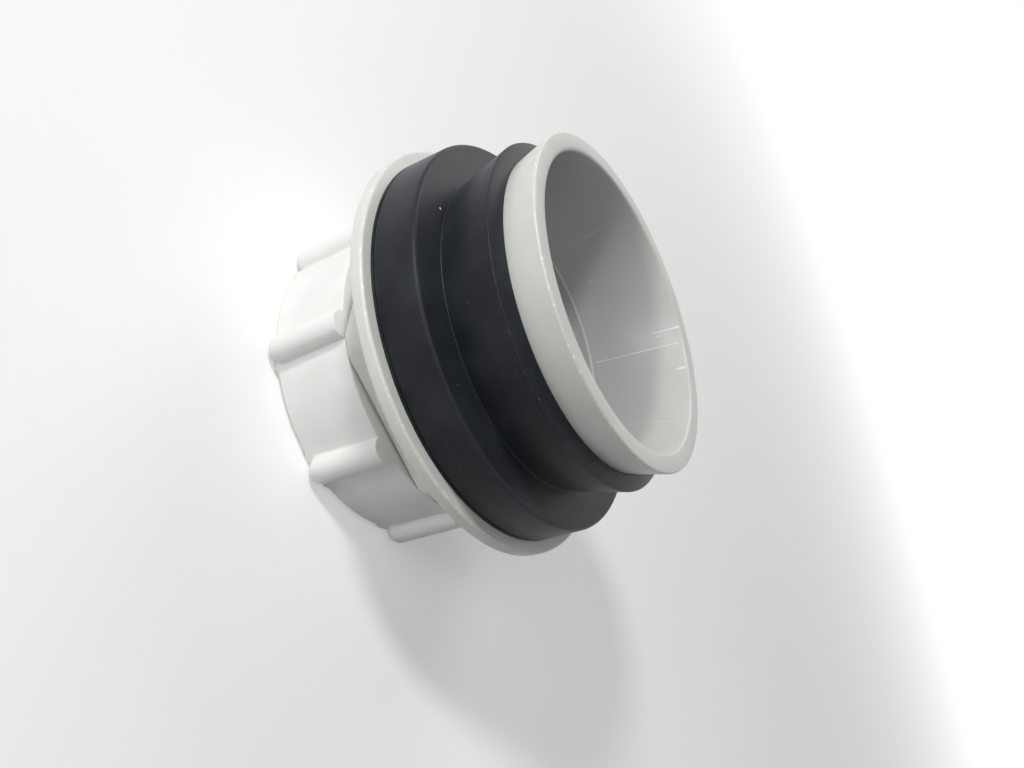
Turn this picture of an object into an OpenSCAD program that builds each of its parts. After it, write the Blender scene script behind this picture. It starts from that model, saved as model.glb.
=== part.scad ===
// Plastic tank spud for a 2 inch flush tube: a flared body, a stepped rubber
// gasket, a flanged lock nut, and a slip-joint coupling nut with its two seals.
// It stands on the coupling nut's back face, mouth upwards, with +Z along the bore.

/* [Flared body] */
// Radius of the flush tube that the spud is made for
tube_r = 25.4; // [22.5:0.1:28.5]
// Gap between the tube and the body's bore
bore_gap = 0.8; // [0.5:0.05:1.2]
// Wall of the body between its bore and the crests of its thread
wall_t = 3.55; // [3.1:0.05:4.2]
// Length of the flare, from the end of the thread to the mouth rim
flare_len = 37.35; // [35:0.05:40]
// Half angle of the flare outside
flare_angle = 14.2; // [12.5:0.1:15.5]
// Width of the flat rim round the mouth
rim_w = 4.35; // [3.6:0.05:4.8]
// Bevel on the rim's outer and inner corners
rim_bevel = 0.45; // [0.2:0.05:0.8]
// Depth of the cone inside the mouth
core_depth = 23.5; // [21:0.1:25]
// Half angle of the cone inside the mouth
core_angle = 13.2; // [12:0.1:15]
// Length of the straight throat behind that cone
throat_len = 4; // [3:0.1:5.5]
// Half angle of the shoulder between the throat and the bore
shoulder_angle = 35; // [26:1:50]
// Width of the flat land on the tail, between its outside and inside bevels
tail_land = 0.5; // [0.2:0.05:1]

/* [Thread] */
// Running clearance between that thread and each nut, on the radius
thread_play = 0.05; // [0.02:0.01:0.1]
// Bevel that leads each thread in
lead_in = 0.7; // [0.4:0.05:1]

/* [Rubber gasket] */
// Width of the large ring's ledge, which seals round the tank hole
ledge_w = 8.8; // [7:0.1:11]
// Height of the large ring
large_h = 10.85; // [9:0.05:12]
// Thickness of the small ring's sleeve, across the axis
sleeve_t = 3.85; // [3:0.05:4.6]
// Height of the small ring above the large ring
small_h = 13.4; // [11:0.05:15]
// Height that the sleeve's sloping front face adds at the flare
front_h = 1.5; // [0.8:0.05:2.4]
// Rounding of the large ring's front edge
large_round = 1; // [0.5:0.1:2]
// Bevel at the large ring's back edge, above the moulding lip
lip_bevel = 0.5; // [0.3:0.05:0.9]
// Thickness of the thin moulding lip at the large ring's back edge
lip_t = 0.5; // [0.3:0.05:0.8]
// Gap between the rubber and the flare that it grips
rubber_gap = 0.12; // [0.05:0.01:0.3]

/* [Lock nut] */
// Distance by which the round flange stands out past the large ring
flange_margin = 2.85; // [2:0.05:4]
// Thickness of the flange
flange_t = 3.1; // [2.4:0.05:4]
// Rounding of the flange's edges
flange_round = 0.7; // [0.3:0.05:1]
// Wall of the hexagon at the middle of its flats
hex_wall = 3.45; // [3:0.05:5]
// Height of the hexagon behind the flange
hex_h = 11.95; // [10:0.05:14]
// Amount by which the hexagon's corners are blunted
hex_blunt = 0.4; // [0.2:0.05:0.8]
// Angle at which one corner of the hexagon came to rest
hex_turn = -14.4; // [-30:0.1:30]
// Depth by which the flare reaches back into the lock nut
flare_reach = 3.4; // [2:0.1:5]
// Gap between that reach of the flare and the lock nut's relief
relief_gap = 0.4; // [0.2:0.05:0.6]

/* [Coupling nut] */
// Length of the coupling nut
nut_len = 20.65; // [18:0.05:24]
// Wall of its drum at the front face
nut_wall = 6.7; // [5.5:0.05:8]
// Draft angle of the drum
nut_draft = 1.6; // [0:0.1:2.5]
// Rounding of the drum's back edge
nut_round = 1.4; // [0.6:0.1:2]
// Thickness of the lip across its back
nut_lip = 3.2; // [2.4:0.05:4.5]
// Number of grip ribs
rib_count = 8; // [6:1:10]
// Radius of each half-round rib
rib_r = 3.1; // [2.4:0.05:3.6]
// Rise of the ribs above the drum at the front face
rib_rise = 3.25; // [2.6:0.05:3.8]
// Distance from the back face to the ribs' domed ends
rib_start = 0.3; // [0.1:0.05:1.5]
// Gap between the coupling nut and the lock nut
nut_gap = 0.55; // [0.4:0.05:0.8]

/* [Slip joint seals] */
// Gap between the tube and the washer's hole
tube_gap = 0.1; // [0.05:0.01:0.2]
// Gap between the tube and the hole through the coupling nut's lip
lip_gap = 0.8; // [0.5:0.05:1.1]
// Thickness of the friction ring
ring_t = 1; // [0.7:0.05:1.5]
// Height of the washer's straight rim
washer_rim_h = 2; // [1.4:0.05:3]
// Height of the washer's tapered nose
nose_h = 2.1; // [1.4:0.05:2.3]
// Gap between the seals and the coupling nut's bore, on the radius
seal_play = 0.35; // [0.2:0.05:0.5]
// Gap between the washer and the body's tail
seat_gap = 0.2; // [0.1:0.05:0.3]

/* [Hidden] */
$fn = 96;

// How far a cutting shape runs past the faces that it cuts
over = 1;

// Heights from the coupling nut's back face, bottom to top
ring_top = nut_lip + ring_t;
washer_top = ring_top + washer_rim_h;
tail_z = washer_top + seat_gap;
hex_z = nut_len + nut_gap;
flange_z = hex_z + hex_h;
flange_top = flange_z + flange_t;
large_top = flange_top + large_h;
small_top = large_top + small_h;
flare_z = flange_top - flare_reach;
mouth_z = flare_z + flare_len;
throat_top = mouth_z - core_depth;
throat_z = throat_top - throat_len;

// Radii that follow from the tube, outwards
bore_r = tube_r + bore_gap;
thread_r = bore_r + wall_t;
nut_bore = thread_r + thread_play;
nut_r = nut_bore + nut_wall;
nut_back_r = nut_r - nut_len * tan(nut_draft);
rib_axis_r = nut_r + rib_rise - rib_r;
hex_flat_r = nut_bore + hex_wall;
lip_hole_r = tube_r + lip_gap;
washer_hole_r = tube_r + tube_gap;
seal_r = nut_bore - seal_play;
seat_r = thread_r - lead_in - tail_land;

// Radii that follow from the flare
mouth_r = thread_r + flare_len * tan(flare_angle);
mouth_in_r = mouth_r - rim_w;
throat_r = mouth_in_r - core_depth * tan(core_angle);
shoulder_z = throat_z - (throat_r - bore_r) / tan(shoulder_angle);

// Outside radius of the flare at height z
function flare_r(z) = thread_r + (z - flare_z) * tan(flare_angle);

// Radius of the rubber's hole at height z
function rubber_r(z) = flare_r(z) + rubber_gap;

large_r = rubber_r(large_top) + sleeve_t + ledge_w;
flange_r = large_r + flange_margin;

// What a rounding of radius r takes off a square corner at the origin, where the solid
// lies on the side of -x and of side * y
module corner_waste(r, side) {
    mirror([0, side > 0 ? 0 : 1])
    difference() {
        translate([-r, -over]) square(r + over);
        translate([-r, r]) circle(r);
    }
}

module spud_body() {
    color("gainsboro")
    rotate_extrude()
    polygon([
        [seat_r, tail_z],
        [thread_r - lead_in, tail_z],
        [thread_r, tail_z + lead_in],
        [thread_r, flare_z],
        [flare_r(mouth_z - rim_bevel), mouth_z - rim_bevel],
        [mouth_r - rim_bevel, mouth_z],
        [mouth_in_r + rim_bevel, mouth_z],
        [mouth_in_r - rim_bevel * tan(core_angle), mouth_z - rim_bevel],
        [throat_r, throat_top],
        [throat_r, throat_z],
        [bore_r, shoulder_z],
        [bore_r, tail_z + seat_r - bore_r],
    ]);
}

module spud_gasket() {
    lip_z = flange_top + lip_t;
    color("#2b2f33")
    rotate_extrude()
    difference() {
        polygon([
            [rubber_r(flange_top), flange_top],
            [large_r, flange_top],
            [large_r, lip_z],
            [large_r - lip_bevel, lip_z],
            [large_r, lip_z + lip_bevel],
            [large_r, large_top],
            [rubber_r(large_top) + sleeve_t, large_top],
            [rubber_r(small_top) + sleeve_t, small_top],
            [rubber_r(small_top + front_h), small_top + front_h],
        ]);
        translate([large_r, large_top]) corner_waste(large_round, -1);
    }
}

module lock_nut() {
    relief_r = flare_r(flange_top) + relief_gap;
    relief_z = flange_top - (relief_r - nut_bore) / tan(flare_angle);
    hex_corner_r = hex_flat_r / cos(30);
    color("whitesmoke")
    difference() {
        union() {
            rotate_extrude() difference() {
                translate([0, flange_z]) square([flange_r, flange_t]);
                translate([flange_r, flange_z]) corner_waste(flange_round, 1);
                translate([flange_r, flange_top]) corner_waste(flange_round, -1);
            }
            intersection() {
                translate([0, 0, hex_z]) rotate(hex_turn)
                    cylinder(r = hex_corner_r, h = hex_h + flange_t / 2, $fn = 6);
                translate([0, 0, hex_z]) cylinder(r = hex_corner_r - hex_blunt, h = hex_h + flange_t / 2);
            }
        }
        rotate_extrude() polygon([
            [0, hex_z - over],
            [nut_bore + lead_in + over, hex_z - over],
            [nut_bore, hex_z + lead_in],
            [nut_bore, relief_z],
            [relief_r, flange_top],
            [relief_r, flange_top + over],
            [0, flange_top + over],
        ]);
    }
}

// One half-round grip rib, domed at the back, which runs past the front face to be trimmed
module grip_rib() {
    dome_z = rib_start + rib_r;
    translate([rib_axis_r, 0, dome_z])
    rotate(180)
    rotate_extrude() {
        intersection() {
            circle(rib_r);
            translate([0, -rib_r]) square(rib_r);
        }
        square([rib_r, nut_len + over - dome_z]);
    }
}

module coupling_nut() {
    front_z = nut_len + over;
    color("white")
    difference() {
        union() {
            rotate_extrude() difference() {
                polygon([
                    [0, 0],
                    [nut_back_r, 0],
                    [nut_back_r + front_z * tan(nut_draft), front_z],
                    [0, front_z],
                ]);
                translate([nut_back_r, 0]) corner_waste(nut_round, 1);
            }
            for (i = [0 : rib_count - 1])
                rotate((i + 0.5) * 360 / rib_count) grip_rib();
        }
        // One cut trims the drum and the ribs to the same front face
        translate([0, 0, nut_len]) cylinder(r = rib_axis_r + 2 * rib_r, h = 2 * over);
        translate([0, 0, -over]) cylinder(r = lip_hole_r, h = nut_lip + 2 * over);
        translate([0, 0, nut_lip]) cylinder(r = nut_bore, h = nut_len);
        translate([0, 0, nut_len - lead_in])
            cylinder(r1 = nut_bore, r2 = nut_bore + lead_in + over, h = lead_in + over);
    }
}

module friction_ring() {
    color("ivory")
    translate([0, 0, nut_lip])
    difference() {
        cylinder(r = seal_r, h = ring_t);
        translate([0, 0, -over]) cylinder(r = lip_hole_r, h = ring_t + 2 * over);
    }
}

module slip_washer() {
    nose_r = seat_r - seat_gap;
    color("#26282a")
    rotate_extrude()
    polygon([
        [washer_hole_r, ring_top],
        [seal_r, ring_top],
        [seal_r, washer_top],
        [nose_r, washer_top],
        [nose_r - nose_h, washer_top + nose_h],
        [washer_hole_r, washer_top + nose_h],
    ]);
}

spud_body();
spud_gasket();
lock_nut();
coupling_nut();
friction_ring();
slip_washer();
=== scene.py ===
import bpy, bmesh, math
from mathutils import Euler, Matrix, Vector, noise


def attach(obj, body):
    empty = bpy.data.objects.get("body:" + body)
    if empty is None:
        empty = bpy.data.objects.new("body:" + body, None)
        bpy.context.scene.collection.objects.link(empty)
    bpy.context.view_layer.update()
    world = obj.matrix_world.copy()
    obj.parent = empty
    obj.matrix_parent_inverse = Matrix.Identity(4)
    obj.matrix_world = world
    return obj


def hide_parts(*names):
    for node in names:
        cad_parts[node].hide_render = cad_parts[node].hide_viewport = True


# Plastic tank spud in four outside mouldings and two hidden seals. Metres, +Z along the bore,
# standing on the coupling nut's back face. Sizes in the dictionaries are millimetres.
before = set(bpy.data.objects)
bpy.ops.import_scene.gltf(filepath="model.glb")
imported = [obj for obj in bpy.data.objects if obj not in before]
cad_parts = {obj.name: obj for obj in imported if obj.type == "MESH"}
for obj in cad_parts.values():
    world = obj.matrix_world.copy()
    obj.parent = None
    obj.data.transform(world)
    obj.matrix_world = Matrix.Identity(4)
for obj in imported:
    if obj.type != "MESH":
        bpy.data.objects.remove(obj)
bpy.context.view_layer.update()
mm = 0.001
upAxis = (0, 0, 1)
print("frame loaded:", ", ".join(sorted(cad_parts)))

# one slip-joint thread, cut outside on the body and inside both nuts; heights count from
# the crest that sits at angle 0
thread = {"pitch": 2.2087, "crestHeight": 0.4, "steps": 64, "flank": math.tan(math.radians(30)),
          "bodyCrest": 29.72, "bodyRoot": 28.1, "bodyLand": 0.1,
          "nutCrest": 28.3, "nutRoot": 29.95, "nutGroove": 0.105}


def drawWire(bm, points, closed=True):
    # (radius, height, rounding) of each corner, then the corners are rounded off
    corners = [bm.verts.new((r * mm, 0, z * mm)) for r, z, _ in points]
    wire = [bm.edges.new(pair) for pair in zip(corners, corners[1:])]
    if closed:
        wire.append(bm.edges.new((corners[-1], corners[0])))
    for corner, (_, _, rounding) in zip(corners, points):
        if rounding:
            bmesh.ops.bevel(bm, geom=[corner], offset=rounding * mm, offset_type="OFFSET",
                            segments=max(3, int(rounding * 8)), profile=0.5, affect="VERTICES",
                            material=-1)


def spinRound(bm, steps):
    bmesh.ops.spin(bm, geom=bm.verts[:] + bm.edges[:], cent=(0, 0, 0), axis=upAxis,
                   dvec=(0, 0, 0), angle=2 * math.pi, steps=steps, use_merge=True,
                   use_normal_flip=False, use_duplicate=False)


def addThread(bm, ridge, low, high):
    # ridge is one pitch of the thread's outline; the screw is cut flat at both ends
    turns = math.ceil((high - low) / thread["pitch"]) + 3
    start = low - 1.5 * thread["pitch"]
    start -= (start - thread["crestHeight"]) % thread["pitch"]
    screw = bmesh.new()
    line = [screw.verts.new((r * mm, 0, (start + z) * mm)) for r, z in ridge]
    edges = [screw.edges.new(pair) for pair in zip(line, line[1:])]
    bmesh.ops.spin(screw, geom=line + edges, cent=(0, 0, 0), axis=upAxis,
                   dvec=(0, 0, thread["pitch"] * mm / thread["steps"]),
                   angle=2 * math.pi * turns, steps=thread["steps"] * turns, use_merge=False,
                   use_normal_flip=False, use_duplicate=False)
    bmesh.ops.remove_doubles(screw, verts=screw.verts, dist=0.01 * mm)
    for height, outwards in ((low, -1), (high, 1)):
        bmesh.ops.bisect_plane(screw, geom=screw.verts[:] + screw.edges[:] + screw.faces[:],
                               dist=0.001 * mm, plane_co=(0, 0, height * mm),
                               plane_no=(0, 0, outwards), clear_outer=True)
    kept = bpy.data.meshes.new("screw")
    screw.to_mesh(kept)
    screw.free()
    bm.from_mesh(kept)
    bpy.data.meshes.remove(kept)
    for height in (low, high):
        openEdges = [e for e in bm.edges if e.is_boundary
                     and all(abs(v.co.z - height * mm) < 0.3 * mm for v in e.verts)]
        bmesh.ops.bridge_loops(bm, edges=openEdges)


def bodyRidge():
    t, half = thread, thread["pitch"] / 2
    foot = t["bodyLand"] + (t["bodyCrest"] - t["bodyRoot"]) * t["flank"]
    return [(t["bodyCrest"], -t["bodyLand"]), (t["bodyCrest"], t["bodyLand"]),
            (t["bodyRoot"], foot), (t["bodyRoot"], 2 * half - foot),
            (t["bodyCrest"], 2 * half - t["bodyLand"])]


def nutRidge():
    t, half = thread, thread["pitch"] / 2
    foot = t["nutGroove"] + (t["nutRoot"] - t["nutCrest"]) * t["flank"]
    return [(t["nutRoot"], -t["nutGroove"]), (t["nutRoot"], t["nutGroove"]),
            (t["nutCrest"], foot), (t["nutCrest"], 2 * half - foot),
            (t["nutRoot"], 2 * half - t["nutGroove"])]


def polar(v):
    # radius in millimetres and angle in degrees of a vertex
    return math.hypot(v.co.x, v.co.y) / mm, math.degrees(math.atan2(v.co.y, v.co.x))


def moveTo(v, radius, angle, height=None):
    a = math.radians(angle)
    v.co = (radius * math.cos(a) * mm, radius * math.sin(a) * mm,
            v.co.z if height is None else height * mm)


def turnBy(angle, target):
    # signed turn from target to angle, -180 to 180 degrees
    return (angle - target + 180) % 360 - 180


def smoothMax(a, b, blend):
    h = min(max(0.5 + 0.5 * (a - b) / blend, 0), 1)
    return b + (a - b) * h + blend * h * (1 - h)


def finishPiece(bm, name, node, body, material, sharpAt=35):
    bmesh.ops.remove_doubles(bm, verts=bm.verts, dist=0.002 * mm)
    bmesh.ops.dissolve_degenerate(bm, dist=0.001 * mm, edges=bm.edges)
    bmesh.ops.recalc_face_normals(bm, faces=bm.faces)
    mesh = bpy.data.meshes.new(name)
    bm.to_mesh(mesh)
    bm.free()
    mesh.shade_smooth()
    mesh.set_sharp_from_angle(angle=math.radians(sharpAt))
    mesh.materials.append(material)
    piece = bpy.data.objects.new(name, mesh)
    bpy.context.scene.collection.objects.link(piece)
    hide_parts(node)
    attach(piece, body)
    print(f"{name}: {len(mesh.polygons)} faces")
    return piece


# materials: every input is either a number or colour, or a socket to link
def put(tree, kind, inputs=None, **settings):
    made = tree.nodes.new("ShaderNode" + kind)
    for key, value in settings.items():
        setattr(made, key, value)
    for key, value in (inputs or {}).items():
        if isinstance(value, bpy.types.NodeSocket):
            tree.links.new(value, made.inputs[key])
        else:
            made.inputs[key].default_value = value
    return made


def calc(tree, operation, a, b=0.0, c=0.0):
    made = put(tree, "Math", {0: a, 1: b, 2: c}, operation=operation)
    return made.outputs[0]


def fade(tree, value, low, high, start=0.0, end=1.0):
    # smooth ramp of value from low to high
    made = put(tree, "MapRange", {"Value": value, "From Min": low, "From Max": high,
                                  "To Min": start, "To Max": end},
               interpolation_type="SMOOTHSTEP")
    return made.outputs["Result"]


def blendColour(tree, mask, a, b, how="MIX"):
    made = put(tree, "Mix", data_type="RGBA", blend_type=how)
    for socket, value in ((made.inputs[0], mask), (made.inputs[6], a), (made.inputs[7], b)):
        if isinstance(value, bpy.types.NodeSocket):
            tree.links.new(value, socket)
        else:
            socket.default_value = value
    return made.outputs[2]


def newGroup(name, inputs, outputs):
    tree = bpy.data.node_groups.new(name, "ShaderNodeTree")
    for label, kind, value in inputs:
        socket = tree.interface.new_socket(name=label, in_out="INPUT", socket_type=kind)
        if value is not None:
            socket.default_value = value
    for label, kind in outputs:
        tree.interface.new_socket(name=label, in_out="OUTPUT", socket_type=kind)
    given = tree.nodes.new("NodeGroupInput").outputs
    result = tree.nodes.new("NodeGroupOutput").inputs
    return tree, given, result


def useGroup(tree, group, inputs):
    made = tree.nodes.new("ShaderNodeGroup")
    made.node_tree = group
    for key, value in inputs.items():
        if isinstance(value, bpy.types.NodeSocket):
            tree.links.new(value, made.inputs[key])
        else:
            made.inputs[key].default_value = value
    return made.outputs


number, direction = "NodeSocketFloat", "NodeSocketVector"


def makeRoundPlace():
    # radius and height in millimetres and angle in degrees, from Object coordinates
    tree, given, result = newGroup("roundPlace", [("Vector", direction, None)],
                                   [("Radius", number), ("Height", number), ("Angle", number),
                                    ("Unrolled", direction)])
    part = put(tree, "SeparateXYZ", {0: given["Vector"]}).outputs
    flat = put(tree, "CombineXYZ", {"X": part["X"], "Y": part["Y"], "Z": 0.0})
    radius = put(tree, "VectorMath", {0: flat.outputs[0]}, operation="LENGTH").outputs["Value"]
    angle = calc(tree, "ARCTAN2", part["Y"], part["X"])
    tree.links.new(calc(tree, "MULTIPLY", radius, 1000.0), result["Radius"])
    tree.links.new(calc(tree, "MULTIPLY", part["Z"], 1000.0), result["Height"])
    tree.links.new(calc(tree, "MULTIPLY", angle, 180 / math.pi), result["Angle"])
    # the same noise follows the turned surface: turn stretched out, radius and height kept
    slow = calc(tree, "MULTIPLY", angle, 0.006)
    rolled = put(tree, "CombineXYZ", {"X": slow, "Y": radius, "Z": part["Z"]})
    tree.links.new(rolled.outputs[0], result["Unrolled"])
    return tree


def makeMouldGrain():
    # broad cloudiness of the plastic and the fine skin that the mould left
    tree, given, result = newGroup(
        "mouldGrain", [("Vector", direction, None), ("Cloud Size", number, 8.0),
                       ("Skin Size", number, 0.4), ("Skin", number, 0.5)],
        [("Cloud", number), ("Height", number)])
    cloud = put(tree, "TexNoise", {"Vector": given["Vector"], "Detail": 3.0, "Roughness": 0.5,
                                   "Scale": calc(tree, "DIVIDE", 1000.0, given["Cloud Size"])})
    skin = put(tree, "TexNoise", {"Vector": given["Vector"], "Detail": 2.0, "Roughness": 0.6,
                                  "Scale": calc(tree, "DIVIDE", 1000.0, given["Skin Size"])})
    wave = calc(tree, "MULTIPLY", skin.outputs["Fac"], given["Skin"])
    tree.links.new(cloud.outputs["Fac"], result["Cloud"])
    tree.links.new(calc(tree, "ADD", wave, calc(tree, "MULTIPLY", cloud.outputs["Fac"], 0.6)),
                   result["Height"])
    return tree


def makeDust():
    # specks in some of the cells, each of its own size
    tree, given, result = newGroup(
        "dustSpecks", [("Vector", direction, None), ("Spacing", number, 3.0),
                       ("Share", number, 0.3), ("Size", number, 0.12)], [("Mask", number)])
    scale = calc(tree, "DIVIDE", 1000.0, given["Spacing"])
    bent = put(tree, "TexNoise", {"Vector": given["Vector"], "Scale": 2500.0, "Detail": 1.0})
    shift = put(tree, "VectorMath", {0: bent.outputs["Color"], 1: (0.00012,) * 3},
                operation="MULTIPLY")
    place = put(tree, "VectorMath", {0: given["Vector"], 1: shift.outputs[0]}, operation="ADD")
    cell = put(tree, "TexVoronoi", {"Vector": place.outputs[0], "Scale": scale,
                                    "Randomness": 1.0}, feature="F1")
    pick = put(tree, "SeparateColor", {0: cell.outputs["Color"]}).outputs
    chosen = calc(tree, "LESS_THAN", pick[0], given["Share"])
    own = calc(tree, "MULTIPLY", calc(tree, "POWER", pick[1], 3.0), given["Size"])
    reach = calc(tree, "DIVIDE", calc(tree, "ADD", own, calc(tree, "MULTIPLY", given["Size"], 0.3)),
                 given["Spacing"])
    inside = fade(tree, calc(tree, "DIVIDE", cell.outputs["Distance"], reach), 1.15, 0.75)
    tree.links.new(calc(tree, "MULTIPLY", inside, chosen), result["Mask"])
    return tree


def makeScratches():
    # thin broken lines: narrow bands of a stretched noise, kept only in patches
    tree, given, result = newGroup(
        "fineScratches", [("Vector", direction, None), ("Size", number, 1.5),
                          ("Amount", number, 0.5)], [("Mask", number)])
    scale = calc(tree, "DIVIDE", 1000.0, given["Size"])
    field = put(tree, "TexNoise", {"Vector": given["Vector"], "Scale": scale, "Detail": 1.0,
                                   "Roughness": 0.4})
    away = calc(tree, "ABSOLUTE", calc(tree, "SUBTRACT", field.outputs["Fac"], 0.5))
    line = fade(tree, away, 0.006, 0.001)
    patches = put(tree, "TexNoise", {"Vector": given["Vector"], "Detail": 2.0,
                                     "Scale": calc(tree, "MULTIPLY", scale, 0.31)})
    limit = calc(tree, "SUBTRACT", 0.78, calc(tree, "MULTIPLY", given["Amount"], 0.3))
    kept = fade(tree, patches.outputs["Fac"], limit, calc(tree, "ADD", limit, 0.06))
    tree.links.new(calc(tree, "MULTIPLY", line, kept), result["Mask"])
    return tree


def makeEdgeBurrAndHighlight():
    # a pale, broken line along a turned edge at one radius and height, for burrs and painted
    # highlights
    tree, given, result = newGroup(
        "edgeBurrAndHighlight", [("Vector", direction, None), ("Radius", number, 0.0), ("Height", number, 0.0),
                     ("Edge Radius", number, 30.0), ("Edge Height", number, 0.0),
                     ("Width", number, 0.4), ("Break", number, 0.5)], [("Mask", number)])
    across = calc(tree, "SUBTRACT", given["Radius"], given["Edge Radius"])
    along = calc(tree, "SUBTRACT", given["Height"], given["Edge Height"])
    away = calc(tree, "SQRT", calc(tree, "ADD", calc(tree, "MULTIPLY", across, across),
                                   calc(tree, "MULTIPLY", along, along)))
    band = fade(tree, calc(tree, "DIVIDE", away, given["Width"]), 1.0, 0.35)
    chips = put(tree, "TexNoise", {"Vector": given["Vector"], "Scale": 900.0, "Detail": 3.0,
                                   "Roughness": 0.7})
    low = calc(tree, "MULTIPLY", given["Break"], 0.62)
    broken = fade(tree, chips.outputs["Fac"], low, calc(tree, "ADD", low, 0.12))
    tree.links.new(calc(tree, "MULTIPLY", band, broken), result["Mask"])
    return tree


def makeMouldMarkHighlight():
    # a hairline mask straight up the wall at one angle, thinning to nothing at its lower end, for
    # mould lines painted as near-white highlight streaks
    tree, given, result = newGroup(
        "mouldMarkHighlight", [("Vector", direction, None), ("Angle", number, 0.0),
                      ("Height", number, 0.0), ("Mark Angle", number, 0.0),
                      ("From", number, 0.0), ("To", number, 10.0), ("Width", number, 0.5)],
        [("Mask", number)])
    wander = put(tree, "TexNoise", {"Vector": given["Vector"], "Scale": 120.0, "Detail": 2.0})
    off = calc(tree, "MULTIPLY", calc(tree, "SUBTRACT", wander.outputs["Fac"], 0.5), 0.25)
    turn = calc(tree, "ADD", calc(tree, "SUBTRACT", given["Angle"], given["Mark Angle"]), off)
    away = calc(tree, "ABSOLUTE", calc(tree, "WRAP", turn, 180.0, -180.0))
    up = put(tree, "MapRange", {"Value": given["Height"], "From Min": given["From"],
                                "From Max": given["To"], "To Min": 0.0, "To Max": 1.0})
    taper = calc(tree, "ADD", 0.4, calc(tree, "MULTIPLY", up.outputs["Result"], 0.6))
    wide = calc(tree, "MULTIPLY", given["Width"], taper)
    line = fade(tree, calc(tree, "DIVIDE", away, wide), 1.0, 0.3)
    ends = calc(tree, "MULTIPLY", fade(tree, up.outputs["Result"], 0.0, 0.06),
                fade(tree, up.outputs["Result"], 1.0, 0.97))
    patchy = fade(tree, wander.outputs["Fac"], 0.3, 0.6, 0.55, 1.0)
    mask = calc(tree, "MULTIPLY", calc(tree, "MULTIPLY", line, ends), patchy)
    tree.links.new(mask, result["Mask"])
    return tree


roundPlace, mouldGrain, dustSpecks = makeRoundPlace(), makeMouldGrain(), makeDust()
fineScratches, edgeBurrAndHighlight, mouldMarkHighlight = makeScratches(), makeEdgeBurrAndHighlight(), makeMouldMarkHighlight()
print("shader groups made")


def startMaterial(name, **sockets):
    material = bpy.data.materials.new(name)
    material.use_nodes = True
    tree = material.node_tree
    shader = tree.nodes["Principled BSDF"]
    for key, value in sockets.items():
        shader.inputs[key.replace("_", " ")].default_value = value
    place = put(tree, "TexCoord").outputs["Object"]
    return material, tree, shader, place


def addBump(tree, shader, height, distance, strength=1.0):
    bump = put(tree, "Bump", {"Height": height, "Distance": distance, "Strength": strength})
    tree.links.new(bump.outputs["Normal"], shader.inputs["Normal"])


# colours: the plastic, a darker grey where the rubber shows through (partly painted shade), a
# near-white for burrs and painted highlights, and a pale grey painted highlight for the throat's
# edge
naturalLook = {"colour": (0.63, 0.632, 0.6, 1), "rubberBackedShade": (0.47, 0.47, 0.475, 1),
               "markAndHighlight": (0.95, 0.96, 0.93, 1), "line": (0.8, 0.81, 0.81, 1),
               # mould lines up the cone, painted near-white as highlight streaks: angle, from and
               # to height, width in degrees, strength
               "markHighlights": [(158.4, 46.9, 69.4, 0.42, 0.95), (165.2, 63.0, 70.0, 0.6, 0.9),
                         (163.4, 64.0, 65.0, 0.7, 0.8), (146.8, 67.2, 69.5, 1.0, 1.0),
                         (118.9, 55.5, 66.5, 0.4, 0.35), (104.2, 59.0, 65.0, 0.4, 0.3),
                         (-141.7, 48.0, 61.5, 0.5, 0.25), (-162.5, 52.3, 53.4, 0.8, 0.35)]}


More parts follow.
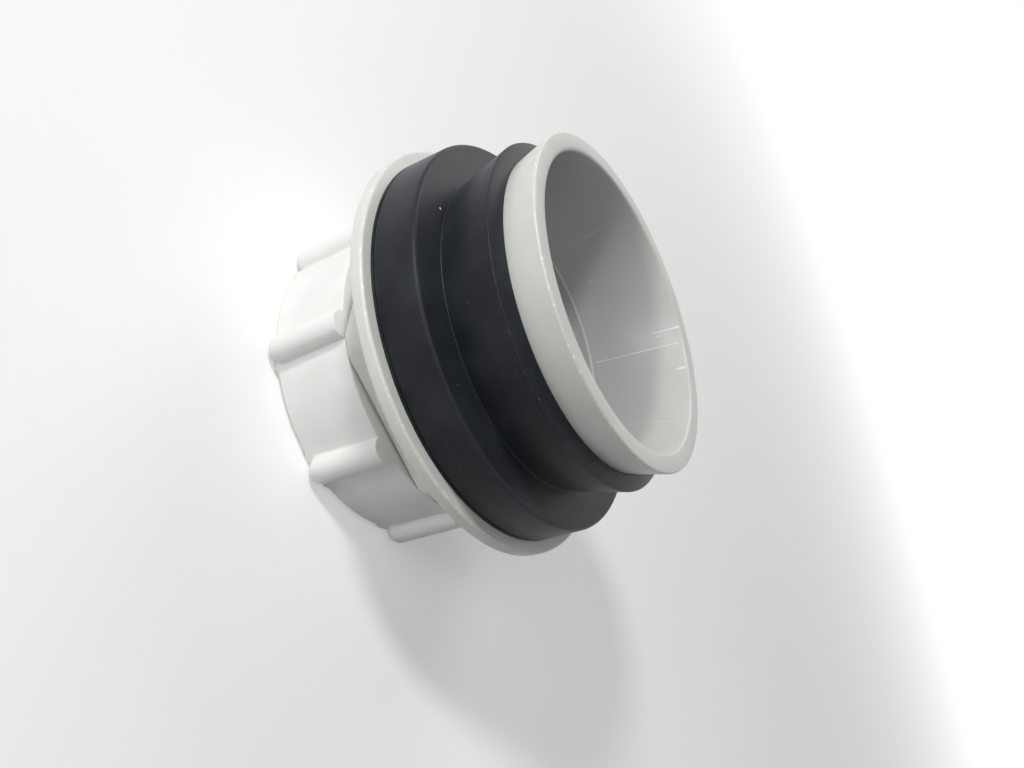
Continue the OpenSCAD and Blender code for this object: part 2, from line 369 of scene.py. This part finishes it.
def makeNatural():
    look = naturalLook
    material, tree, shader, place = startMaterial(
        "naturalPlastic", Roughness=0.32, IOR=1.5, Subsurface_Weight=0.25,
        Subsurface_Radius=(1.0, 0.95, 0.85), Subsurface_Scale=0.0025)
    spot = useGroup(tree, roundPlace, {"Vector": place})
    grain = useGroup(tree, mouldGrain, {"Vector": place, "Cloud Size": 11.0, "Skin Size": 0.55})
    cloudy = fade(tree, grain["Cloud"], 0.3, 0.7, 0.97, 1.03)
    tint = put(tree, "VectorMath", {0: look["colour"][:3], "Scale": cloudy}, operation="SCALE")
    # the rubber behind the wall shows through inside the cone, from its front edge inwards, as a
    # darker grey; this is partly painted shade: the zone's edge is tilted along Y and wobbled, so
    # near the rim a lighter band of painted light through the wall is left
    inside = fade(tree, calc(tree, "SUBTRACT", spot["Radius"],
                             calc(tree, "MULTIPLY", spot["Height"], 0.2345)), 19.6, 18.6)
    lightTilt = put(tree, "SeparateXYZ", {0: place}).outputs["Y"]
    edge = put(tree, "TexNoise", {"Vector": place, "Scale": 60.0, "Detail": 1.0})
    shadeDepth = calc(tree, "ADD", spot["Height"], calc(tree, "MULTIPLY", edge.outputs["Fac"], 2.0))
    # painted shade: the dark zone reaches nearer the rim towards -Y and stops deeper towards +Y,
    # following where light comes through the wall
    shadeDepth = calc(tree, "ADD", shadeDepth, calc(tree, "MULTIPLY", lightTilt, 200.0))
    rubberBackedShade = calc(tree, "MULTIPLY", inside, fade(tree, shadeDepth, 70.2, 64.6))
    colour = blendColour(tree, rubberBackedShade, tint.outputs[0], look["rubberBackedShade"])
    # painted highlight: a pale broken line along the throat's edge, where the cone meets the
    # straight bore
    throatHighlight = useGroup(tree, edgeBurrAndHighlight, {"Vector": place, "Radius": spot["Radius"],
                                         "Height": spot["Height"], "Edge Radius": 29.4,
                                         "Edge Height": 46.75, "Width": 0.4, "Break": 0.3})
    colour = blendColour(tree, calc(tree, "MULTIPLY", throatHighlight["Mask"], 0.6), colour,
                         look["line"])
    # mould lines up the cone, painted near-white as highlight streaks
    for angle, low, high, width, strength in look["markHighlights"]:
        mark = useGroup(tree, mouldMarkHighlight, {"Vector": place, "Angle": spot["Angle"],
                                          "Height": spot["Height"], "Mark Angle": angle,
                                          "From": low, "To": high, "Width": width})
        mask = calc(tree, "MULTIPLY", calc(tree, "MULTIPLY", mark["Mask"], inside), strength)
        colour = blendColour(tree, mask, colour, look["markAndHighlight"])
    # burrs and painted highlight glints, broken along the mouth's outer rim corner
    rim = useGroup(tree, edgeBurrAndHighlight, {"Vector": place, "Radius": spot["Radius"],
                                    "Height": spot["Height"], "Edge Radius": 39.1,
                                    "Edge Height": 70.1, "Width": 0.35, "Break": 0.9})
    colour = blendColour(tree, rim["Mask"], colour, look["markAndHighlight"])
    tree.links.new(colour, shader.inputs["Base Color"])
    addBump(tree, shader, grain["Height"], 0.00002)
    return material


rubberLook = {"colour": (0.008, 0.0105, 0.014, 1), "bloom": (0.035, 0.04, 0.043, 1),
              "dust": (0.62, 0.66, 0.6, 1), "scuff": (0.12, 0.125, 0.13, 1)}


def makeRubber(name, dustShare):
    look = rubberLook
    material, tree, shader, place = startMaterial(
        name, Roughness=0.42, IOR=1.5, Specular_IOR_Level=0.18, Sheen_Weight=0.12,
        Sheen_Roughness=0.4, Sheen_Tint=(0.9, 0.96, 1.0, 1))
    spot = useGroup(tree, roundPlace, {"Vector": place})
    grain = useGroup(tree, mouldGrain, {"Vector": place, "Cloud Size": 14.0, "Skin Size": 0.3})
    bloom = fade(tree, grain["Cloud"], 0.35, 0.75, 0.0, 0.45)
    colour = blendColour(tree, bloom, look["colour"], look["bloom"])
    turned = useGroup(tree, fineScratches, {"Vector": spot["Unrolled"], "Size": 1.1,
                                            "Amount": 0.6})
    colour = blendColour(tree, calc(tree, "MULTIPLY", turned["Mask"], 0.35), colour,
                         look["scuff"])
    coarse = useGroup(tree, dustSpecks, {"Vector": place, "Spacing": 4.2, "Share": dustShare,
                                         "Size": 0.26})
    fine = useGroup(tree, dustSpecks, {"Vector": place, "Spacing": 1.3, "Share": dustShare,
                                       "Size": 0.09})
    dust = calc(tree, "MAXIMUM", coarse["Mask"], calc(tree, "MULTIPLY", fine["Mask"], 0.5))
    colour = blendColour(tree, dust, colour, look["dust"])
    tree.links.new(colour, shader.inputs["Base Color"])
    rough = calc(tree, "ADD", 0.36, calc(tree, "MULTIPLY", grain["Cloud"], 0.14))
    rough = calc(tree, "ADD", rough, calc(tree, "MULTIPLY", dust, 0.3))
    tree.links.new(rough, shader.inputs["Roughness"])
    height = calc(tree, "ADD", grain["Height"], calc(tree, "MULTIPLY", dust, 1.5))
    addBump(tree, shader, height, 0.00004)
    return material


nutLook = {"flangeColour": (0.70, 0.70, 0.66, 1), "whiteColour": (0.86, 0.865, 0.84, 1),
           "ringColour": (0.80, 0.79, 0.72, 1)}


def makeNutPlastic(name, colour, rough, highlightEdges):
    material, tree, shader, place = startMaterial(
        name, Roughness=rough, IOR=1.5, Subsurface_Weight=0.15,
        Subsurface_Radius=(1.0, 0.95, 0.85), Subsurface_Scale=0.0015)
    spot = useGroup(tree, roundPlace, {"Vector": place})
    grain = useGroup(tree, mouldGrain, {"Vector": place, "Cloud Size": 9.0, "Skin Size": 0.5})
    cloudy = fade(tree, grain["Cloud"], 0.3, 0.7, 0.975, 1.02)
    tint = put(tree, "VectorMath", {0: colour[:3], "Scale": cloudy}, operation="SCALE")
    shade = tint.outputs[0]
    # painted highlights, broken along each listed edge
    for radius, height, width in highlightEdges:
        edgeHighlight = useGroup(tree, edgeBurrAndHighlight, {"Vector": place, "Radius": spot["Radius"],
                                         "Height": spot["Height"], "Edge Radius": radius,
                                         "Edge Height": height, "Width": width, "Break": 0.85})
        shade = blendColour(tree, calc(tree, "MULTIPLY", edgeHighlight["Mask"], 0.7), shade,
                            naturalLook["markAndHighlight"])
    specks = useGroup(tree, dustSpecks, {"Vector": place, "Spacing": 6.0, "Share": 0.1,
                                         "Size": 0.16})
    shade = blendColour(tree, calc(tree, "MULTIPLY", specks["Mask"], 0.5), shade,
                        (0.35, 0.34, 0.3, 1))
    tree.links.new(shade, shader.inputs["Base Color"])
    addBump(tree, shader, grain["Height"], 0.00002)
    return material


naturalPlastic = makeNatural()
gasketRubber = makeRubber("gasketRubber", 0.22)
washerRubber = makeRubber("washerRubber", 0.05)
# the lock nut's flange gets painted highlights broken along its front and back edges
lockNutPlastic = makeNutPlastic("lockNutPlastic", nutLook["flangeColour"], 0.36,
                                [(48.8, 36.1, 0.45), (48.8, 33.3, 0.4)])
whitePlastic = makeNutPlastic("whitePlastic", nutLook["whiteColour"], 0.34, [])
ringPlastic = makeNutPlastic("ringPlastic", nutLook["ringColour"], 0.4, [])
print("materials made")

# flared body
body = {"steps": 512, "boreR": 26.2, "tailZ": 6.4, "seatR": 27.8, "tailR": 28.05, "threadTop": 32.1,
        "flareR": 29.75, "flareZ": 32.85, "mouthR": 39.2, "mouthZ": 70.2, "rimW": 4.35,
        "rimRound": 0.5, "throatR": 29.34, "throatTop": 46.7, "throatZ": 42.7,
        "shoulderZ": 38.22, "leadIn": 1.5}


def makeBody():
    b = body
    bm = bmesh.new()
    drawWire(bm, [
        (b["tailR"], b["tailZ"] + 0.05, 0), (b["tailR"] - 0.05, b["tailZ"], 0),
        (b["seatR"], b["tailZ"], 0), (b["boreR"], b["tailZ"] + b["seatR"] - b["boreR"], 0.2),
        (b["boreR"], b["shoulderZ"], 0.6), (b["throatR"], b["throatZ"], 0.5),
        (b["throatR"], b["throatTop"], 0.4), (b["mouthR"] - b["rimW"], b["mouthZ"], b["rimRound"]),
        (b["mouthR"], b["mouthZ"], b["rimRound"]), (b["flareR"], b["flareZ"], 0.3),
        (b["flareR"], b["threadTop"] + 0.1, 0)], closed=False)
    spinRound(bm, b["steps"])
    addThread(bm, bodyRidge(), b["tailZ"] + 0.2, b["threadTop"])
    for v in bm.verts:
        radius, angle = polar(v)
        height = v.co.z / mm
        if height < b["tailZ"] + b["leadIn"] + 0.5 and radius > b["tailR"]:
            moveTo(v, min(radius, b["tailR"] + max(height - b["tailZ"] - 0.1, 0) * 1.1), angle)
    return finishPiece(bm, "flaredBody", "spud_body", "body", naturalPlastic)


makeBody()

# stepped gasket, moulded in one
gasket = {"steps": 384, "backZ": 36.25, "ledgeZ": 47.1, "frontZ": 60.5, "noseZ": 62.0,
          "largeR": 46.13, "sleeveFootR": 37.33, "sleeveTopR": 40.72, "backHoleR": 30.66,
          "noseR": 37.2, "lipT": 0.5, "lipGroove": 0.45, "largeRound": 0.9, "cornerRound": 0.25,
          "footRound": 0.35}


def makeGasket():
    g = gasket
    bm = bmesh.new()
    lipTop = g["backZ"] + g["lipT"]
    drawWire(bm, [
        (g["backHoleR"], g["backZ"], 0), (g["largeR"], g["backZ"], 0.08),
        (g["largeR"], lipTop, 0.08), (g["largeR"] - g["lipGroove"], lipTop + 0.1, 0.08),
        (g["largeR"], lipTop + 0.65, 0.1), (g["largeR"], g["ledgeZ"], g["largeRound"]),
        (g["sleeveFootR"], g["ledgeZ"], g["footRound"]),
        (g["sleeveTopR"], g["frontZ"], g["cornerRound"]), (g["noseR"], g["noseZ"], 0.1)])
    spinRound(bm, g["steps"])
    return finishPiece(bm, "steppedGasket", "spud_gasket", "gasket",
                       gasketRubber)


makeGasket()

# flanged lock nut
lockNut = {"hexZ": 21.2, "flangeZ": 33.15, "flangeTop": 36.25, "flangeR": 48.98, "edgeRound": 0.7,
           "flatR": 33.25, "cornerR": 37.55, "cornerBlend": 0.35, "turn": -14.4,
           "boreR": 29.8, "reliefR": 31.0, "reliefZ": 31.5, "leadIn": 0.9, "cornerSpan": 5.0,
           "cornerSteps": 16, "flatSteps": 14, "chamfer": 0.5}


def spinSectors(bm, count, spans):
    # spans are (degrees, steps) that together make one of count equal sectors
    geometry = bm.verts[:] + bm.edges[:]
    for _ in range(count):
        for degrees, steps in spans:
            turned = bmesh.ops.spin(bm, geom=geometry, cent=(0, 0, 0), axis=upAxis,
                                    dvec=(0, 0, 0), angle=math.radians(degrees), steps=steps,
                                    use_merge=False, use_normal_flip=False,
                                    use_duplicate=False)
            geometry = turned["geom_last"]
    bmesh.ops.remove_doubles(bm, verts=bm.verts, dist=0.003 * mm)


def makeLockNut():
    n = lockNut
    bm = bmesh.new()
    outerRows = [n["hexZ"] + x for x in (0.12, 0.3, 0.55, 0.85, 1.2, 1.7)]
    drawWire(bm, [
        (n["boreR"], n["hexZ"] + n["leadIn"], 0), (n["boreR"] + n["leadIn"], n["hexZ"], 0.1),
        (n["flatR"], n["hexZ"], 0)] + [(n["flatR"], z, 0) for z in outerRows] + [
        (n["flatR"], n["flangeZ"], 0.6), (n["flangeR"], n["flangeZ"], n["edgeRound"]),
        (n["flangeR"], n["flangeTop"], n["edgeRound"]), (n["reliefR"], n["flangeTop"], 0.15),
        (n["boreR"], n["reliefZ"], 0)], closed=False)
    spinSectors(bm, 6, [(n["cornerSpan"], n["cornerSteps"] // 2),
                        (60 - 2 * n["cornerSpan"], n["flatSteps"]),
                        (n["cornerSpan"], n["cornerSteps"] // 2)])
    for v in bm.verts:
        radius, angle = polar(v)
        height = v.co.z / mm
        if n["flatR"] - 0.05 < radius < n["flatR"] + 0.7 and height < n["flangeZ"] + 0.01:
            # the spin started at a corner, so this is the turn from the nearest flat's middle
            fromFlat = (angle % 60) - 30
            outline = n["flatR"] / math.cos(math.radians(fromFlat))
            limit = n["cornerR"] - max(n["chamfer"] - (height - n["hexZ"]) * 0.6, 0)
            outline = -smoothMax(-outline, -limit, n["cornerBlend"])
            radius += outline - n["flatR"]
        moveTo(v, radius, angle + n["turn"])
    addThread(bm, nutRidge(), n["hexZ"] + n["leadIn"] + 0.1, n["reliefZ"] - 0.1)
    return finishPiece(bm, "lockNut", "lock_nut", "lock_nut",
                       lockNutPlastic)


makeLockNut()

# coupling nut with its grip ribs
couplingNut = {"length": 20.65, "backR": 35.92, "draft": math.tan(math.radians(1.6)),
               "backRound": 1.4, "frontRound": 0.2, "lip": 3.2, "lipHoleR": 26.2, "boreR": 29.85,
               "leadIn": 0.7, "threadZ": 7.8, "ribs": 8, "ribR": 3.1, "ribAxisR": 36.65,
               "ribStart": 0.3, "ribSpan": 7.0, "ribSteps": 36, "gapSteps": 14, "fillet": 0.45,
               "footSlope": 2.5}


def ribRadius(across, height):
    # outside of a rib at this distance across it, in millimetres; the back end is a dome
    n = couplingNut
    back = n["ribStart"] + n["ribR"]
    size = n["ribR"]
    if height < back:
        size = math.sqrt(max(n["ribR"] ** 2 - (back - height) ** 2, 0))
    if height <= n["ribStart"]:
        return 0
    across = abs(across)
    if across < size:
        return n["ribAxisR"] + math.sqrt(size ** 2 - across ** 2)
    return n["ribAxisR"] - (across - size) * n["footSlope"] - (n["ribR"] - size) * 0.3


def makeCouplingNut():
    n = couplingNut
    bm = bmesh.new()
    frontR = n["backR"] + n["length"] * n["draft"]
    rows = [1.7, 2.0, 2.35, 2.7, 3.05, 3.4, 6.5, 11.0, 15.5, 18.5, 20.0]
    drawWire(bm, [
        (n["boreR"], n["threadZ"] - 0.1, 0), (n["boreR"], n["lip"], 0.2),
        (n["lipHoleR"], n["lip"], 0.1), (n["lipHoleR"], 0, 0.3), (n["backR"], 0, n["backRound"])]
        + [(n["backR"] + z * n["draft"], z, 0) for z in rows] + [
        (frontR, n["length"], n["frontRound"]),
        (n["boreR"] + n["leadIn"], n["length"], 0.1),
        (n["boreR"], n["length"] - n["leadIn"], 0)], closed=False)
    gap = 360 / n["ribs"] - 2 * n["ribSpan"]
    spinSectors(bm, n["ribs"], [(gap / 2, n["gapSteps"] // 2), (2 * n["ribSpan"], n["ribSteps"]),
                                (gap / 2, n["gapSteps"] // 2)])
    reach = math.radians(n["ribSpan"]) * n["ribAxisR"]
    for v in bm.verts:
        radius, angle = polar(v)
        height = v.co.z / mm
        fromRib = turnBy(angle, 0) % (360 / n["ribs"]) - 180 / n["ribs"]
        share = fromRib / n["ribSpan"]
        across = share * reach
        if abs(share) < 1:
            # more of the columns go to the steep sides of the rib
            if abs(share) < 0.75:
                across = n["ribR"] * math.sin(share / 0.75 * math.pi / 2)
            else:
                across = math.copysign(n["ribR"] + (reach - n["ribR"])
                                       * (abs(share) - 0.75) / 0.25, share)
            angle += math.degrees(across / n["ribAxisR"]) - fromRib
            drum = n["backR"] + height * n["draft"]
            if radius > drum - 2 and radius > n["boreR"] + 2:
                inset = drum - radius if height > n["length"] / 2 else 0
                radius = smoothMax(drum - inset if height < n["length"] / 2 else drum,
                                   ribRadius(across, height), n["fillet"])
                radius -= inset
        moveTo(v, radius, angle)
    addThread(bm, nutRidge(), n["threadZ"], n["length"] - n["leadIn"] - 0.1)
    return finishPiece(bm, "couplingNut", "coupling_nut", "coupling_nut",
                       whitePlastic)


makeCouplingNut()

# hidden seals of the slip joint
frictionRing = {"steps": 160, "holeR": 26.2, "outerR": 29.45, "low": 3.2, "high": 4.2,
                "round": 0.12}
slipWasher = {"steps": 192, "holeR": 25.5, "outerR": 29.45, "low": 4.2, "rimTop": 6.2,
              "noseFootR": 27.6, "noseTop": 7.9, "noseR": 25.9, "round": 0.25}


def makeSeals():
    f, w = frictionRing, slipWasher
    bm = bmesh.new()
    drawWire(bm, [(f["holeR"], f["low"], f["round"]), (f["outerR"], f["low"], f["round"]),
                  (f["outerR"], f["high"], f["round"]), (f["holeR"], f["high"], f["round"])])
    spinRound(bm, f["steps"])
    finishPiece(bm, "frictionRing", "friction_ring", "seals", ringPlastic)
    bm = bmesh.new()
    drawWire(bm, [(w["holeR"], w["low"], w["round"]), (w["outerR"], w["low"], w["round"]),
                  (w["outerR"], w["rimTop"], w["round"]), (w["noseFootR"], w["rimTop"], 0.15),
                  (w["noseR"], w["noseTop"], 0.15), (w["holeR"], w["noseTop"], 0.12)])
    spinRound(bm, w["steps"])
    finishPiece(bm, "slipWasher", "slip_washer", "seals", washerRubber)


makeSeals()

# stage: a pale floor that stays white round the object's shadow
stageLook = {"halfSize": 60.0, "floor": (0.78, 0.78, 0.78, 1), "lift": 0.3, "farLift": 1.0,
             "farFrom": 0.25, "farTo": 1.2, "ambient": 0.1}


def makeStage():
    s = stageLook
    bm = bmesh.new()
    bmesh.ops.create_grid(bm, x_segments=1, y_segments=1, size=s["halfSize"])
    bmesh.ops.translate(bm, verts=bm.verts, vec=(0, 0, -0.0003))
    mesh = bpy.data.meshes.new("floor")
    bm.to_mesh(mesh)
    bm.free()
    floor = bpy.data.objects.new("floor", mesh)
    bpy.context.scene.collection.objects.link(floor)
    material = bpy.data.materials.new("paleFloor")
    material.use_nodes = True
    tree = material.node_tree
    shader = tree.nodes["Principled BSDF"]
    shader.inputs["Base Color"].default_value = s["floor"]
    shader.inputs["Roughness"].default_value = 0.9
    shader.inputs["Specular IOR Level"].default_value = 0.0
    shader.inputs["Emission Color"].default_value = (1, 1, 1, 1)
    path = put(tree, "LightPath").outputs
    seen = calc(tree, "MAXIMUM", path["Is Camera Ray"],
                calc(tree, "MAXIMUM", path["Is Glossy Ray"], path["Is Transmission Ray"]))
    spot = put(tree, "TexCoord").outputs["Object"]
    away = put(tree, "VectorMath", {0: spot}, operation="LENGTH").outputs["Value"]
    lift = fade(tree, away, s["farFrom"], s["farTo"], s["lift"], s["farLift"])
    tree.links.new(calc(tree, "MULTIPLY", seen, lift), shader.inputs["Emission Strength"])
    mesh.materials.append(material)

    world = bpy.data.worlds.new("paleRoom")
    bpy.context.scene.world = world
    world.use_nodes = True
    tree = world.node_tree
    path = put(tree, "LightPath").outputs
    seen = calc(tree, "MAXIMUM", path["Is Camera Ray"],
                calc(tree, "MAXIMUM", path["Is Glossy Ray"], path["Is Transmission Ray"]))
    strength = calc(tree, "MULTIPLY_ADD", seen, 1 - s["ambient"], s["ambient"])
    background = tree.nodes["Background"]
    background.inputs["Color"].default_value = (1, 1, 1, 1)
    tree.links.new(strength, background.inputs["Strength"])


makeStage()

# soft lamps: (towards the lamp, distance, size, watts)
lamps = {"keyLamp": ((0.413, -0.692, 0.59), 0.75, 0.12, 2.9),
         "sideLamp": ((0.8, -0.5, 0.13), 0.8, 0.3, 1.6),
         "frontLamp": ((0.6, -0.1, 0.8), 0.8, 0.4, 0.9),
         "farLamp": ((-0.6, -0.45, 0.65), 0.8, 0.4, 1.3)}
middle = Vector((0, 0, 35 * mm))


def makeLamps():
    for name, (towards, distance, size, watts) in lamps.items():
        light = bpy.data.lights.new(name, "AREA")
        light.shape = "DISK"
        light.size = size
        light.energy = watts
        lamp = bpy.data.objects.new(name, light)
        bpy.context.scene.collection.objects.link(lamp)
        way = Vector(towards).normalized()
        lamp.location = middle + way * distance
        lamp.rotation_euler = way.to_track_quat("Z", "Y").to_euler()


makeLamps()

# the photograph's viewpoint
cameraPlace = {"lens": 32.537, "location": (0.1949793, 0.0102335, 0.1355554),
               "turn": (32.34065, -57.72522, 143.43804)}


def makeCamera():
    c = cameraPlace
    data = bpy.data.cameras.new("photoCamera")
    data.sensor_width = 36
    data.lens = c["lens"]
    data.clip_start = 0.01
    camera = bpy.data.objects.new("photoCamera", data)
    camera.location = c["location"]
    camera.rotation_euler = Euler([math.radians(a) for a in c["turn"]], "XYZ")
    bpy.context.scene.collection.objects.link(camera)
    bpy.context.scene.camera = camera


makeCamera()
bpy.context.scene.view_settings.view_transform = "Standard"
print("stage, lamps and camera made")
